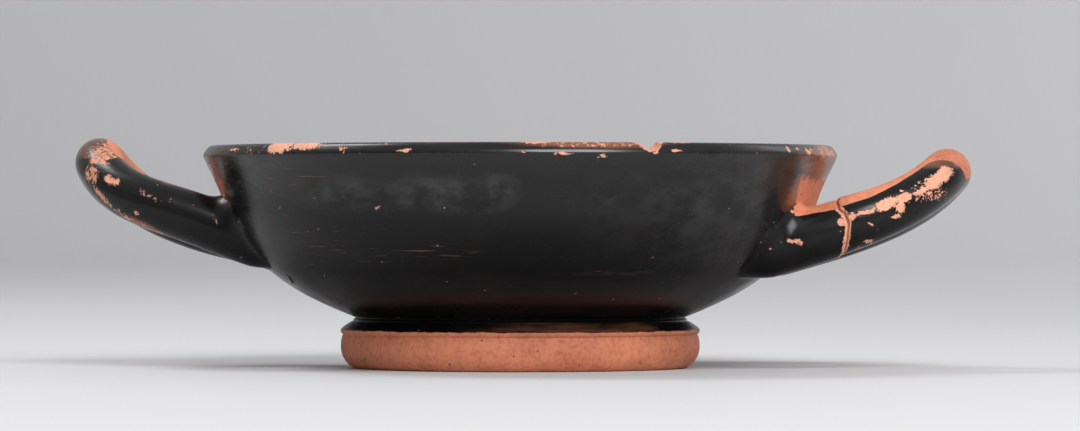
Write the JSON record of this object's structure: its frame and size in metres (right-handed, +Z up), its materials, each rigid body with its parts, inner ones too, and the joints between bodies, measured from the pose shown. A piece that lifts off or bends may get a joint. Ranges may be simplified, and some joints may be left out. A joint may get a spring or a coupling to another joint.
{
  "type": "stemless kylix cup",
  "caption": "Shallow black-gloss pottery drinking cup with a concave lip, a moulded ring foot and two upswept horizontal loop handles.",
  "frame": {"origin": "middle of the plane that the ring foot rests on, on the bowl's axis", "axes": "+Z up along the bowl's axis, +X out along the mended handle, -X along the whole handle"},
  "size_m": [0.2276, 0.1602, 0.0579],
  "materials": {
    "black_gloss": "black slip gloss over orange-red clay, worn and flaked; foot band, handle insides and handle panels reserved in matt clay"
  },
  "bodies": {
    "root": {"kylix_cup": "black_gloss"}
  },
  "joints": []
}
